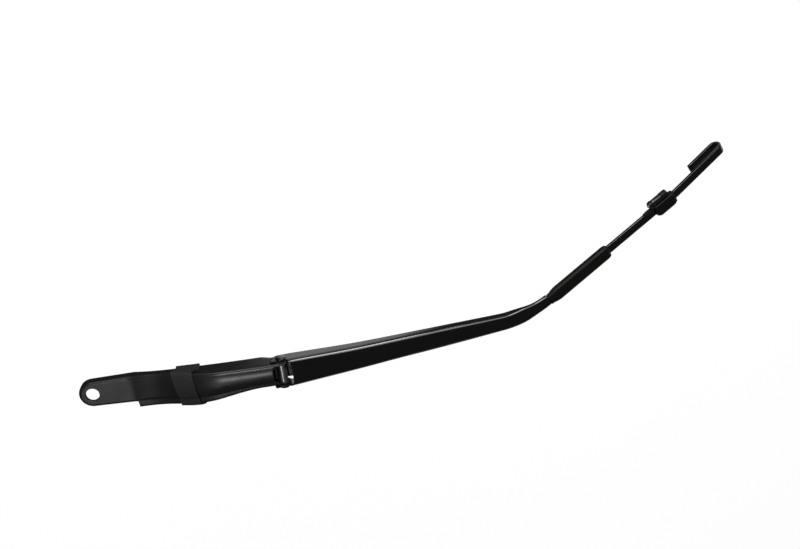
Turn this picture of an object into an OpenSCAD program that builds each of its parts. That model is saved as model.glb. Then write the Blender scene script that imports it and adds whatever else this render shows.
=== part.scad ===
// Long windscreen wiper arm: pressed mounting head, spring-loaded hinge, pressed channel,
// flat steel rod with a plastic sleeve and a washer jet, and a J-hook for the blade.
// The origin is the centre of the spindle bore in the upper face of the head plate.
// X runs along the head towards the hinge, Z points away from the glass.

/* [Spindle eye] */
// Diameter of the bore for the wiper spindle
bore_d = 12.5; // [8:0.5:14]
// Outer radius of the eye end
eye_r = 12.7; // [12:0.1:14]
// Depth of the wall round the eye
eye_depth = 9.5; // [8:0.5:12]
// Length of the collar pressed down round the bore
collar_h = 3.2; // [2.8:0.2:6]
// Wall of that collar
collar_wall = 2.2; // [1.5:0.1:2.4]

/* [Mounting head] */
// Sheet thickness of the head
head_t = 2.4; // [1.8:0.1:2.6]
// Radius of the long edges of the pressing
head_edge_r = 3; // [2.8:0.1:3.6]
// Length of the flat plate from the bore to the ramp
plate_len = 36; // [32:1:40]
// Length of the ramp up to the crown
ramp_len = 86; // [70:1:90]
// Height of the crown above the plate at the top of the ramp
crown_rise = 18.5; // [16:0.5:20]
// Extra height that the crown gains up to the hinge
crown_lift = 3; // [1:0.5:4]
// Height of the crown's dome across its width
crown_dome = 2.2; // [0.5:0.1:3]
// Rise of the wall's lower rim from eye to hinge
rim_rise = 15; // [12:0.5:17]
// Outward flare of the long wall's rim
wall_flare = 0.6; // [0:0.1:1.5]
// Distance from the bore to the cut where the side ledge starts
ledge_x = 40; // [38:1:46]
// Width that the side ledge adds
ledge_w = 5.8; // [4:0.2:7]
// Drop of the ledge below the crown face
ledge_drop = 1.2; // [0.4:0.1:1.6]

/* [Hinge] */
// Distance from the spindle bore to the hinge axis
hinge_x = 178; // [170:1:190]
// Height of the hinge axis above the plate
hinge_z = 15; // [14:0.5:16]
// Half of the width over the head's two cheeks
cheek_half = 11.5; // [10.5:0.1:12.5]
// Radius of the cheek ends
cheek_r = 6.6; // [6:0.2:7]
// Diameter of the hinge rivet
rivet_d = 6; // [5:0.5:7]
// Diameter of the rivet's two heads
rivet_head_d = 10; // [9:0.5:12]
// Thickness of the rivet's two heads
rivet_head_h = 1.6; // [1:0.1:2.2]
// Outer diameter of the bush between the cheeks
bush_d = 8; // [7.6:0.2:9]
// Outer diameter of the hinge washers
washer_d = 13; // [11:0.5:14]
// Thickness of the hinge washers
washer_t = 0.7; // [0.4:0.1:1]

/* [Arm channel] */
// Sheet thickness of the channel
arm_t = 1.2; // [1:0.1:1.5]
// Length from the hinge axis to the bend
arm_len = 239; // [225:1:270]
// Pitch of the arm towards the glass, in degrees
arm_pitch = 5; // [3:0.5:7]
// Slight sideways bend of the arm off the hinge's square line, in degrees
arm_yaw = 2.3; // [1:0.05:4]
// Height of the channel's face above the hinge axis
arm_top = 8.5; // [8:0.1:9.5]
// Reach of the channel's walls below the hinge axis
arm_drop = 8.2; // [7.5:0.1:9]
// Half width of the channel at the bend
neck_half = 7.4; // [6.2:0.1:8]
// Radius of the channel's shoulders at the hinge
shoulder_r = 4.5; // [3.5:0.1:5.5]
// Radius of the ears round the hinge axis
ear_r = 9; // [8.6:0.1:10]
// Reach of the opening in the face past the hinge axis
window_reach = 8.5; // [7:0.5:12]

/* [Rod and hook] */
// Width of the flat rod
rod_w = 9; // [8:0.5:10]
// Thickness of the flat rod
rod_t = 3; // [2.5:0.1:3.6]
// Distance from the hinge axis to the rod's end inside the channel
rod_start = 120; // [112:1:140]
// Length from the main bend to the slight second bend
rod_len = 190; // [160:1:205]
// Length from the second bend to the tip of the hook
tip_len = 68.5; // [62:0.5:78]
// Sideways bend of the rod at the end of the channel, in degrees
rod_yaw = 28.4; // [20:0.1:34]
// Pitch of the rod below the arm, in degrees
rod_pitch = 6.8; // [3:0.1:10]
// Sideways direction of the hook end, in degrees
tip_yaw = 32; // [29:0.1:38]
// Pitch of the hook end below the arm, in degrees
tip_pitch = 9; // [7:0.1:13]
// Twist of the rod and of the channel's end, in degrees
rod_roll = 11; // [0:1:16]
// Clear gap inside the hook
hook_gap = 7.8; // [5.6:0.1:9]
// Length of the hook's free leg
hook_leg = 38; // [24:1:46]

/* [Tension spring] */
// Diameter of the spring wire
wire_d = 2.2; // [1.6:0.1:2.6]
// Outer diameter of the coil
coil_d = 11; // [10:0.5:12]
// Number of turns of the coil
turns = 24; // [16:1:28]
// Length of the coil
coil_len = 74; // [60:1:80]
// Diameter of the pin in the head that holds the spring
spring_pin_d = 4; // [3:0.5:5]

/* [Head clip] */
// Distance from the bore to the clip
clip_x = 80; // [70:1:84]
// Width of the clip along the head
clip_w = 22; // [14:1:26]
// Wall of the clip
clip_t = 1.5; // [1.2:0.1:2.2]

/* [Rod sleeve] */
// Distance from the main bend to the sleeve
sleeve_x = 28; // [28:1:38]
// Length of the sleeve
sleeve_len = 74; // [50:1:84]
// Width of the sleeve
sleeve_w = 14.4; // [12:0.2:16]
// Height of the sleeve
sleeve_h = 8; // [6:0.2:9]

/* [Washer jet] */
// Straight rod left free between the jet holder and the second bend
holder_gap = 0.8; // [0.4:0.2:16]
// Length of the jet holder
holder_len = 24; // [16:1:26]
// Wall of the jet holder on the side away from the jet
holder_wall = 2.4; // [1.8:0.1:3.2]
// Height of the jet holder
holder_h = 8.4; // [7.4:0.2:9.4]
// Length of the jet body
jet_len = 22; // [18:1:26]
// Diameter of the jet body
jet_d = 7; // [6:0.2:8]
// Diameter of the jet ball
ball_d = 3.6; // [3:0.2:4]

/* [Hidden] */

// Clearance between pieces that are pressed or clipped together
seat = 0.05;
// Running gap between pieces that move past each other
run_gap = 0.3;
// Radial clearance of a pin that turns in a bore
pin_gap = 0.05;
// Overlap where two solids of one piece join
joint = 0.02;
// Reach of cutting bodies past what they cut
past = 60;

steel = [0.07, 0.07, 0.075];
satin = [0.22, 0.22, 0.225];
plastic = [0.16, 0.16, 0.165];
zinc = [0.7, 0.7, 0.72];

ear_half = cheek_half + washer_t + run_gap + arm_t;
crown_end = hinge_x - ear_r + 1;
spring_pin_x = -7;
spring_pin_z = -(bush_d + wire_d) / 2 - run_gap;
head_end = hinge_x + cheek_r;

function smooth(u) = let (v = min(1, max(0, u))) v * v * (3 - 2 * v);
function blend(a, b, u) = a + (b - a) * smooth(u);
function unit(v) = v / norm(v);
function heading(pitch, yaw) = [cos(pitch) * cos(yaw), cos(pitch) * sin(yaw), -sin(pitch)];
function arc(centre, r, a0, a1, n) =
    [for (i = [0:n - 1]) let (a = a0 + (a1 - a0) * i / (n - 1)) centre + r * [cos(a), sin(a)]];
function mirrored(pts) = [for (i = [len(pts) - 1:-1:0]) [-pts[i].x, pts[i].y]];

// Moves every point of an open line to its left by d, with mitred corners.
function left_of(a, b) = unit([-(b - a).y, (b - a).x]);
function shifted(pts, d) = [
    for (i = [0:len(pts) - 1])
        let (
            before = left_of(pts[max(0, i - 1)], pts[max(1, i)]),
            after = left_of(pts[min(i, len(pts) - 2)], pts[min(i + 1, len(pts) - 1)]),
            mid = unit(before + after)
        ) pts[i] + mid * d / (mid * before)
];

// Skins a run of sheet sections. Each ring holds the n outer points and then the n inner ones.
module sheet_loft(rings, n) {
    m = 2 * n;
    last = len(rings) - 1;
    skin = [
        for (i = [0:last - 1], j = [0:m - 1])
            let (k = (j + 1) % m, a = i * m, b = a + m) each [[a + j, a + k, b + k], [a + j, b + k, b + j]]
    ];
    start = [for (j = [0:n - 2]) [j, m - 1 - j, m - 2 - j, j + 1]];
    end = [for (f = start) [for (j = [3:-1:0]) f[j] + last * m]];
    polyhedron([for (r = rings) each r], concat(skin, start, end), convexity = 8);
}

// Skins a run of closed rings and closes both ends.
module solid_loft(rings) {
    m = len(rings[0]);
    last = len(rings) - 1;
    skin = [
        for (i = [0:last - 1], j = [0:m - 1])
            let (k = (j + 1) % m, a = i * m, b = a + m) each [[a + j, a + k, b + k], [a + j, b + k, b + j]]
    ];
    start = [[for (j = [m - 1:-1:0]) j]];
    end = [[for (j = [0:m - 1]) last * m + j]];
    polyhedron([for (r = rings) each r], concat(skin, start, end), convexity = 6);
}

// Head levels and half widths along X
function web_z(x) =
    crown_rise * smooth((x - plate_len) / ramp_len)
    + crown_lift * smooth((x - plate_len - ramp_len / 2) / (crown_end - plate_len - ramp_len / 2));
function rim_z(x) = -eye_depth + rim_rise * smooth((x - ledge_x) / (crown_end - ledge_x));
ledge_end = plate_len + ramp_len * 0.6;
cheek_x = hinge_x - ear_r - run_gap;
taper_clear = 8.9;
taper_end = cheek_x - taper_clear;
plate_widening = 2;
ledge_face = 5.4;
ledge_cut = 0.4;
plain_edge = 1;
function upper_half(x) = blend(eye_r, cheek_half, (x - plate_len) / (cheek_x - plate_len));
function lower_half(x) =
    x < ledge_x ? eye_r + plate_widening * x / ledge_x
    : blend(eye_r + plate_widening + ledge_w, cheek_half, (x - ledge_end) / (taper_end - ledge_end));
function ledge_inner(x) =
    lower_half(x) - head_edge_r
    - (x < ledge_x ? plain_edge : blend(ledge_face, plain_edge, (x - ledge_end) / (cheek_x - ledge_end)));
function ledge_z(x) = web_z(x) - (x < ledge_x ? 0 : blend(0, ledge_drop, (x - ledge_x) / 20 + 0.3));
function dome_z(x) = crown_dome * smooth((x - plate_len) / ramp_len);
function flare_y(x) = wall_flare * smooth((x - plate_len) / ramp_len) * smooth((head_end - x) / 20);
dome_steps = 7;

// Outer line of the head's section at x, from the rim on the ledge side over the crown
function head_line(x) =
    let (
        low = lower_half(x),
        up = upper_half(x),
        inner = ledge_inner(x),
        lz = ledge_z(x),
        wz = web_z(x),
        r = head_edge_r,
        half_step = 0.6,
        y0 = -inner + half_step,
        y1 = up - r
    ) concat(
        [[-low, rim_z(x)]],
        arc([-low + r, lz - r], r, 180, 90, 5),
        [[-inner - half_step, lz]],
        [for (i = [0:dome_steps - 1])
            let (u = i / dome_steps) [y0 + (y1 - y0) * u, wz + dome_z(x) * (1 - pow(2 * u - 1, 2))]],
        arc([up - r, wz - r], r, 90, 0, 5),
        [[up, blend(rim_z(x), wz, 0.45)], [up + flare_y(x), rim_z(x)]]
    );
function reversed(pts) = [for (i = [len(pts) - 1:-1:0]) pts[i]];
function sheet_ring(x, outer, inner) = [for (p = concat(outer, reversed(inner))) [x, p.x, p.y]];
function steps(a, b, n) = [for (i = [0:n]) a + (b - a) * i / n];
head_stations = concat(
    [0],
    steps(6, plate_len, 2),
    [ledge_x - ledge_cut],
    steps(ledge_x, ledge_end, 8),
    steps(ledge_end + 7, cheek_x, 10),
    [head_end]
);

// Round end of the head: the section at the bore, turned half way round it
module eye_cup() {
    line = head_line(0);
    outer = [for (p = line) if (p.x > 0) p];
    inner = [for (p = shifted(line, -head_t)) if (p.x > 0) p];
    rotate_extrude(angle = 180, start = 90, $fn = 96)
        polygon(concat([[0, 0]], outer, reversed(inner), [[0, -head_t]]));
}

// Removes what lies outside a round end about the hinge axis on the side where X grows or falls.
module round_end_cut(r, side) {
    difference() {
        translate([side > 0 ? 0 : -past, -past, -past / 2]) cube([past, 2 * past, past]);
        rotate([90, 0, 0]) cylinder(r = r, h = 4 * past, center = true, $fn = 64);
    }
}

module mounting_head() {
    color(satin)
    difference() {
        union() {
            eye_cup();
            sheet_loft(
                [for (x = head_stations)
                    let (line = head_line(x)) sheet_ring(x, line, shifted(line, -head_t))],
                len(head_line(0))
            );
            translate([0, 0, -collar_h])
                cylinder(d = bore_d + 2 * collar_wall, h = collar_h - joint, $fn = 64);
        }
        translate([0, 0, -past / 2]) cylinder(d = bore_d, h = past, $fn = 64);
        translate([hinge_x, 0, hinge_z]) {
            round_end_cut(cheek_r, 1);
            rotate([90, 0, 0]) cylinder(d = rivet_d + 2 * pin_gap, h = past, center = true, $fn = 48);
        }
        translate([hinge_x + spring_pin_x, 0, hinge_z + spring_pin_z])
            rotate([90, 0, 0]) cylinder(d = spring_pin_d, h = past, center = true, $fn = 40);
        translate([crown_end, head_t - cheek_half, hinge_z])
            cube([past, 2 * (cheek_half - head_t), past]);
    }
}

clip_seat = 0.08;
clip_stations = steps(clip_x, clip_x + clip_w, 6);
module head_clip() {
    // Reach of the clip's two ends round the rims
    hook = 2.2;
    color(plastic)
    sheet_loft(
        [for (x = clip_stations)
            let (
                line = head_line(x),
                n = len(line),
                around = concat(
                    [line[0] + [hook, 0]], [line[0]], [for (i = [1:n - 2]) line[i]], [line[n - 1]],
                    [line[n - 1] - [hook, 0]]
                )
            ) sheet_ring(x, shifted(around, clip_t + clip_seat), shifted(around, clip_seat))],
        len(head_line(0)) + 2
    );
}

module spring_pin() {
    color(zinc)
    translate([hinge_x + spring_pin_x, 0, hinge_z + spring_pin_z])
        rotate([90, 0, 0]) cylinder(d = spring_pin_d, h = 2 * cheek_half, center = true, $fn = 40);
}

module hinge_rivet() {
    color(zinc)
    translate([hinge_x, 0, hinge_z]) rotate([90, 0, 0]) {
        cylinder(d = rivet_d, h = 2 * (ear_half + joint), center = true, $fn = 48);
        for (side = [-1, 1])
            mirror([0, 0, side < 0 ? 1 : 0]) translate([0, 0, ear_half])
                rotate_extrude($fn = 48) polygon([
                    [0, 0], [rivet_head_d / 2, 0], [rivet_head_d / 2, rivet_head_h * 0.45],
                    [rivet_head_d / 2 - 1, rivet_head_h], [0, rivet_head_h]
                ]);
    }
}

module tube(outer_d, inner_d, h) {
    difference() {
        cylinder(d = outer_d, h = h, center = true, $fn = 48);
        cylinder(d = inner_d, h = h + 2, center = true, $fn = 48);
    }
}

module hinge_bush() {
    color(zinc)
    translate([hinge_x, 0, hinge_z]) rotate([90, 0, 0])
        tube(bush_d, rivet_d + 2 * pin_gap, 2 * (cheek_half - head_t));
}

module hinge_washer(side) {
    color(plastic)
    translate([hinge_x, side * (cheek_half + washer_t / 2), hinge_z]) rotate([90, 0, 0])
        tube(washer_d, rivet_d + 2 * pin_gap, washer_t);
}

module arm_place() {
    translate([hinge_x, 0, hinge_z]) rotate([0, arm_pitch, 0]) children();
}

// Frames along the arm and the rod: position, direction, sideways axis and the distance run.
function side_axis(d, roll) =
    let (flat = unit([-d.y, d.x, 0]), up = cross(d, flat)) flat * cos(roll) + up * sin(roll);
roll_start = 80;
roll_end = arm_len - 20;
function arm_roll(s) = blend(0, rod_roll, (s - roll_start) / (roll_end - roll_start));
function straight(p, d, s0, runs) = [for (t = runs) [p + d * t, d, side_axis(d, arm_roll(s0 + t)), s0 + t]];
function corner_len(d0, d1, r) = r * tan(acos(d0 * d1) / 2);
function corner(p, d0, d1, r, s0, n) =
    let (turn = acos(d0 * d1), a = p - d0 * corner_len(d0, d1, r))
    [for (i = [0:n])
        let (
            f = turn * i / n,
            q = a + r * (d0 * (cos(turn - f) - cos(turn)) + d1 * (1 - cos(f))) / sin(turn),
            d = unit((d0 * sin(turn - f) + d1 * sin(f)) / sin(turn)),
            s = s0 + (2 * i / n - 1) * corner_len(d0, d1, r)
        ) [q, d, side_axis(d, arm_roll(s)), s]];

lead_x = 70;
lead_r = 1200;
bend_r = 110;
second_r = 60;
arm_dir = heading(0, arm_yaw);
rod_dir = heading(rod_pitch, rod_yaw);
tip_dir = heading(tip_pitch, tip_yaw);
lead_point = [lead_x, 0, 0];
bend_point = lead_point + arm_dir * (arm_len - lead_x);
second_point = bend_point + rod_dir * rod_len;
bend_reach = corner_len(arm_dir, rod_dir, bend_r);
second_reach = corner_len(rod_dir, tip_dir, second_r);
lead_reach = corner_len([1, 0, 0], arm_dir, lead_r);

// Channel section as a function of the distance s from the hinge
crimp_run = 26;
crimp_start = arm_len - 18;
fold_r = 2.3;
wall_rise = 4.2;
rod_top = rod_t / 2 + seat;
crimp_half = rod_w / 2 + 2 * seat + arm_t;
rest_run = 75;
rest_x = arm_len - rest_run;
function fall(u) = pow(1 - min(1, max(0, u)), 1.35);
function top_z(s) = rod_top + arm_t + (arm_top - rod_top - arm_t) * fall(s / rest_x);
function crimp(s) = smooth((s - crimp_start) / crimp_run);
function run_of(s) = min(1, max(0, (s - ear_r) / (arm_len - ear_r)));
function taper_half(s) = neck_half + (ear_half - neck_half) * pow(1 - run_of(s), 1.15);
function half_w(s) = blend(taper_half(s), crimp_half, (s - arm_len + 6) / 20);
function low_z(s) =
    blend(wall_rise * run_of(s) - arm_drop, fold_r - arm_t - rod_top, (s - crimp_start) / crimp_run);
function shoulder(s) = blend(shoulder_r, 2, s / arm_len);
function channel_side(s, inset) =
    let (
        h = half_w(s),
        r = shoulder(s),
        turn = 6 + 84 * crimp(s),
        lip = 0.4 + 1.4 * crimp(s),
        c = [h - fold_r, low_z(s)],
        low = arc(c, fold_r - inset, 0, -turn, 4),
        tail = low[3] + lip * [-sin(turn), -cos(turn)]
    ) concat(arc([h - r, top_z(s) - r], r - inset, 90, 0, 5), low, [tail]);
function channel_line(s, inset) = let (side = channel_side(s, inset)) concat(mirrored(side), side);
function placed(frame, pts) =
    let (up = cross(frame[1], frame[2])) [for (p = pts) frame[0] + frame[2] * p.x + up * p.y];
function channel_ring(frame) =
    placed(frame, concat(channel_line(frame[3], 0), reversed(channel_line(frame[3], arm_t))));

channel_frames = concat(
    straight([0, 0, 0], [1, 0, 0], 0, steps(-ear_r, lead_x - lead_reach - 1, 4)),
    corner(lead_point, [1, 0, 0], arm_dir, lead_r, lead_x, 3),
    straight(lead_point, arm_dir, lead_x, steps(lead_reach + 10, arm_len - lead_x - bend_reach - 4, 20)),
    corner(bend_point, arm_dir, rod_dir, bend_r, arm_len, 10)
);

module arm_channel() {
    window_half = ear_half - arm_t;
    r = 5;
    color(steel)
    arm_place() difference() {
        sheet_loft([for (f = channel_frames) channel_ring(f)], len(channel_line(0, 0)));
        round_end_cut(ear_r, -1);
        rotate([90, 0, 0]) cylinder(d = rivet_d + 2 * pin_gap, h = past, center = true, $fn = 48);
        // Opening in the face over the hinge, with round corners
        linear_extrude(height = past) {
            translate([-past, -window_half]) square([past + window_reach - r, 2 * window_half]);
            for (side = [-1, 1])
                translate([window_reach - r, side * (window_half - r)]) circle(r = r, $fn = 40);
            translate([-past, r - window_half]) square([past + window_reach, 2 * (window_half - r)]);
        }
    }
}

// Flat rod section with rounded corners
rod_corner_r = 0.8;
function rounded_box(w, h, r, n) =
    concat(
        arc([w / 2 - r, h / 2 - r], r, 0, 90, n),
        arc([-w / 2 + r, h / 2 - r], r, 90, 180, n),
        arc([-w / 2 + r, -h / 2 + r], r, 180, 270, n),
        arc([w / 2 - r, -h / 2 + r], r, 270, 360, n)
    );
hook_r = (hook_gap + rod_t) / 2;
hook_start = second_point + tip_dir * (tip_len - hook_r - rod_t / 2);
hook_axis = side_axis(tip_dir, rod_roll);
hook_up = cross(tip_dir, hook_axis);
function hook_frame(a) = [
    hook_start + hook_r * (tip_dir * sin(a) + hook_up * (cos(a) - 1)),
    tip_dir * cos(a) - hook_up * sin(a), hook_axis, 0
];
leg_start = hook_frame(180)[0];
rod_frames = concat(
    straight(lead_point, arm_dir, lead_x, steps(rod_start - lead_x, arm_len - lead_x - bend_reach - 4, 8)),
    corner(bend_point, arm_dir, rod_dir, bend_r, arm_len, 10),
    straight(bend_point, rod_dir, arm_len, steps(bend_reach + 8, rod_len - second_reach - 8, 3)),
    corner(second_point, rod_dir, tip_dir, second_r, arm_len + rod_len, 4),
    [for (a = [0:15:180]) hook_frame(a)],
    [[leg_start - tip_dir * (hook_leg - hook_r - rod_t / 2), -tip_dir, hook_axis, 0]]
);

spring_eye_x = rod_start + 5;
spring_eye_y = (spring_eye_x - lead_x) * tan(arm_yaw);
module hook_rod() {
    color(steel)
    arm_place() difference() {
        solid_loft([for (f = rod_frames) placed(f, rounded_box(rod_w, rod_t, rod_corner_r, 3))]);
        translate([spring_eye_x, spring_eye_y, -past / 2]) cylinder(d = wire_d + 2, h = past, $fn = 32);
    }
}

// Spring: hook round the head's pin, drawn-out wire under the bush, coil, hook through the rod's eye
coil_r = (coil_d - wire_d) / 2;
coil_x = 24;
coil_z = spring_pin_z + coil_r;
coil_end = coil_x + coil_len;
coil_fall = 2;
coil_side = spring_eye_y * 0.75;
turn_steps = 10;
// The head's pin as the pitched arm sees it
pin_at = [
    spring_pin_x * cos(arm_pitch) - spring_pin_z * sin(arm_pitch), 0,
    spring_pin_x * sin(arm_pitch) + spring_pin_z * cos(arm_pitch)
];
pin_hook_gap = 0.18;
pin_hook_r = (spring_pin_d + wire_d) / 2 + pin_hook_gap;
spring_path = concat(
    [for (a = [-30:30:210]) pin_at + [pin_hook_r * cos(a + 60), 0, pin_hook_r * sin(a + 60)]],
    [pin_at + [2, 0, 0.2 - pin_hook_r]],
    [[0, 0, spring_pin_z - wire_d / 4], [coil_x - 6, 0, coil_z - coil_r]],
    [for (i = [0:turns * turn_steps])
        let (
            u = i / (turns * turn_steps),
            a = -90 + 360 * i / turn_steps,
            x = coil_x + coil_len * u
        ) [x, coil_r * cos(a) + coil_side * u, coil_z - coil_fall * u + coil_r * sin(a)]],
    [
        [coil_end + 6, coil_side, coil_z - coil_fall - coil_r + 1],
        [spring_eye_x - 4, spring_eye_y, -rod_t / 2 - wire_d / 2 - 1.2],
        [spring_eye_x, spring_eye_y, -rod_t / 2],
        [spring_eye_x, spring_eye_y, rod_t / 2 + 0.5]
    ]
);
function tangent(pts, i) = unit(pts[min(i + 1, len(pts) - 1)] - pts[max(i - 1, 0)]);
module wire(pts, d, sides) {
    tangents = [for (i = [0:len(pts) - 1]) tangent(pts, i)];
    first = unit(cross(tangents[0], [0, 1, 0.1]));
    axes = [
        for (i = 0, n = first; i < len(pts);
            i = i + 1, n = i < len(pts) ? unit(n - tangents[i] * (n * tangents[i])) : n) n
    ];
    solid_loft([
        for (i = [0:len(pts) - 1])
            let (n = unit(axes[i] - tangents[i] * (axes[i] * tangents[i])), b = cross(tangents[i], n))
            [for (k = [0:sides - 1]) let (a = 360 * k / sides) pts[i] + d / 2 * (n * cos(a) + b * sin(a))]
    ]);
}

module tension_spring() {
    color(zinc)
    arm_place() wire(spring_path, wire_d, 6);
}

// Places children along the straight rod at distance s from the bend, X along the rod.
module on_rod(s) {
    arm_place() translate(bend_point) rotate([rod_roll, rod_pitch, rod_yaw])
        translate([s, 0, 0]) children();
}

module rod_passage() {
    cube([past * 3, rod_w + 2 * seat, rod_t + 2 * seat], center = true);
}

sleeve_shift_z = 0.8;
sleeve_end_share = 0.62;
sleeve_wall = 1.2;
function sleeve_ring(u) =
    let (
        grow = blend(sleeve_end_share, 1, min(u, 1 - u) * 6),
        w = max(sleeve_w * grow, rod_w + 2 * sleeve_wall),
        h = max(sleeve_h * grow, rod_t + 2 * sleeve_wall)
    ) [for (p = rounded_box(w, h, h * 0.38, 5)) [u * sleeve_len, p.x, p.y + sleeve_shift_z]];
module rod_sleeve() {
    color(plastic)
    on_rod(sleeve_x) difference() {
        solid_loft([for (u = [0, 0.04, 0.08, 0.12, 0.17, 0.5, 0.83, 0.88, 0.92, 0.96, 1]) sleeve_ring(u)]);
        rod_passage();
    }
}

holder_x = rod_len - second_reach - holder_gap - holder_len;
jet_y = rod_w / 2 + jet_d / 2 + 1.4;
jet_z = 0.6;
socket_x = 0;
cap_len = 2;
socket_len = 9;
socket_wall = 1.2;
holder_low = -rod_w / 2 - holder_wall;
holder_high = jet_y - jet_d / 2 - seat - 0.2;
holder_lift = 0.5;
holder_cut = 2.2;
// Straight block with its corners cut off in plan, from the side and from the end
module holder_block() {
    l = holder_len;
    c = holder_cut;
    top = holder_lift + holder_h / 2;
    foot = holder_lift - holder_h / 2;
    intersection() {
        translate([0, 0, -past / 2]) linear_extrude(height = past) polygon([
            [0, holder_low + c], [c, holder_low], [l - 2 * c, holder_low], [l, holder_low + 2 * c],
            [l, holder_high - c / 2], [l - c / 2, holder_high],
            [c / 2, holder_high], [0, holder_high - c / 2]
        ]);
        rotate([90, 0, 0]) linear_extrude(height = past, center = true) polygon([
            [0, foot + c / 2], [c, foot], [l - c, foot], [l, foot + c / 2],
            [l, top - c / 2], [l - c, top], [c, top], [0, top - c / 2]
        ]);
        translate([0, (holder_low + holder_high) / 2, holder_lift]) rotate([90, 0, 90])
            linear_extrude(height = past) polygon(rounded_box(holder_high - holder_low, holder_h, 1.6, 4));
    }
}

module jet_holder() {
    color(plastic)
    on_rod(holder_x) difference() {
        union() {
            holder_block();
            translate([socket_x, jet_y, jet_z]) rotate([0, 90, 0])
                cylinder(d = jet_d + 2 * socket_wall, h = socket_len, $fn = 48);
        }
        rod_passage();
        translate([0, jet_y, jet_z]) rotate([0, 90, 0])
            cylinder(d = jet_d + 2 * seat, h = past * 2, center = true, $fn = 48);
    }
}

jet_start = -4;
ball_sink = 0.4;
module jet_body() {
    r = jet_d / 2;
    color(steel)
    on_rod(holder_x + jet_start) translate([0, jet_y, jet_z]) rotate([0, 90, 0]) difference() {
        rotate_extrude($fn = 48) polygon(concat(
            [[0, 0], [r - 1, 0], [r, 1], [r, jet_len - 4]],
            arc([r - 3, jet_len - 4], 3, 15, 75, 4),
            [[0, jet_len - 0.9]]
        ));
        translate([0, 0, ball_sink]) sphere(d = ball_d + 2 * pin_gap, $fn = 40);
        cylinder(d = 1.6, h = jet_len - 6, $fn = 24);
    }
}

module jet_ball() {
    color(zinc)
    on_rod(holder_x + jet_start) translate([ball_sink, jet_y, jet_z]) rotate([0, 90, 0]) difference() {
        sphere(d = ball_d, $fn = 40);
        translate([0, 0, -ball_d]) cylinder(d = 0.9, h = 2 * ball_d, $fn = 20);
    }
}

module jet_cap() {
    color(plastic)
    on_rod(holder_x + socket_x - cap_len / 2 - seat) translate([0, jet_y, jet_z]) rotate([0, 90, 0])
        tube(jet_d + 2, jet_d + 2 * seat, cap_len);
}

mounting_head();
head_clip();
spring_pin();
hinge_rivet();
hinge_bush();
hinge_washer(1);  // hinge_washer_left
hinge_washer(-1);  // hinge_washer_right
arm_channel();
tension_spring();
hook_rod();
rod_sleeve();
jet_holder();
jet_body();
jet_ball();
jet_cap();
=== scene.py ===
import math

import bmesh
import bpy
import numpy as np
from mathutils import Matrix, Vector


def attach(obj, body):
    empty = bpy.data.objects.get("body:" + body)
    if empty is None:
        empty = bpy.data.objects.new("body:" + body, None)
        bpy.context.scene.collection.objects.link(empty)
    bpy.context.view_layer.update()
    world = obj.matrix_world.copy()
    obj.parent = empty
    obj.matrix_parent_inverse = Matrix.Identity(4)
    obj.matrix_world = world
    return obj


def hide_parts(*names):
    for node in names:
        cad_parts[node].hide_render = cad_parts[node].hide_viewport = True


# Wiper arm. Lengths are in millimetres until a mesh is made, then in metres.
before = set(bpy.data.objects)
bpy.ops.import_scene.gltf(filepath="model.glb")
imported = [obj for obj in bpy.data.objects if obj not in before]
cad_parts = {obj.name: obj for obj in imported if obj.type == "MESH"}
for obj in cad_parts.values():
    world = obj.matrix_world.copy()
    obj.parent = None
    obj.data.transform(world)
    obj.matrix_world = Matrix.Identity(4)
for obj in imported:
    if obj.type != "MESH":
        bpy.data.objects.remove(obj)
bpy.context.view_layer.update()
print("frame loaded")

milli = 0.001
seat = 0.05  # clearance where one part sits on or in another
bevelFrom = 50  # edges with a bend of more degrees than this are bevelled
mergeWithin = 2e-6  # metres between points that are one
cutter = {"low": 20.0, "near": 30.0, "wide": 40.0, "far": 60.0, "long": 90.0}  # reach of cutters


# small maths for sections and paths
def smooth(u):
    v = min(1.0, max(0.0, u))
    return v * v * (3 - 2 * v)


def mix(a, b, u):
    return a + (b - a) * smooth(u)


def unit(v):
    v = np.asarray(v, float)
    return v / np.linalg.norm(v)


def turn(axis, angle):
    return np.array(Matrix.Rotation(math.radians(angle), 3, axis))


def heading(pitch, yaw):
    p, y = math.radians(pitch), math.radians(yaw)
    return np.array([math.cos(p) * math.cos(y), math.cos(p) * math.sin(y), -math.sin(p)])


def arc(cx, cy, r, a0, a1, n):
    angles = np.radians(np.linspace(a0, a1, n))
    return [(cx + r * math.cos(a), cy + r * math.sin(a)) for a in angles]


def circle(cx, cy, r, n=48):
    return arc(cx, cy, r, 0, 360, n + 1)[:-1]


def evenly(a, b, n):
    return list(np.linspace(a, b, n + 1))


def shifted(line, d):
    # an open line moved to its left by d, with mitred corners
    pts = np.asarray(line, float)
    step = np.diff(pts, axis=0)
    step /= np.linalg.norm(step, axis=1)[:, None]
    left = np.stack([-step[:, 1], step[:, 0]], axis=1)
    before = np.vstack([left[:1], left])
    after = np.vstack([left, left[-1:]])
    mid = before + after
    mid /= np.linalg.norm(mid, axis=1)[:, None]
    return pts + mid * (d / np.sum(mid * before, axis=1))[:, None]


def roundedBox(w, h, r, n):
    x, y = w / 2 - r, h / 2 - r
    return np.array(arc(x, y, r, 0, 90, n) + arc(-x, y, r, 90, 180, n)
                    + arc(-x, -y, r, 180, 270, n) + arc(x, -y, r, 270, 360, n))


def rimPoints(a, b, inward, r):
    # the sheet's cut edge from its outer face to its inner face, rounded
    across = unit(b - a)
    corner = r * 0.29  # the middle of a quarter arc
    return [a + inward * r, a + (inward + across) * corner, a + across * r,
            b - across * r, b + (inward - across) * corner, b + inward * r]


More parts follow.
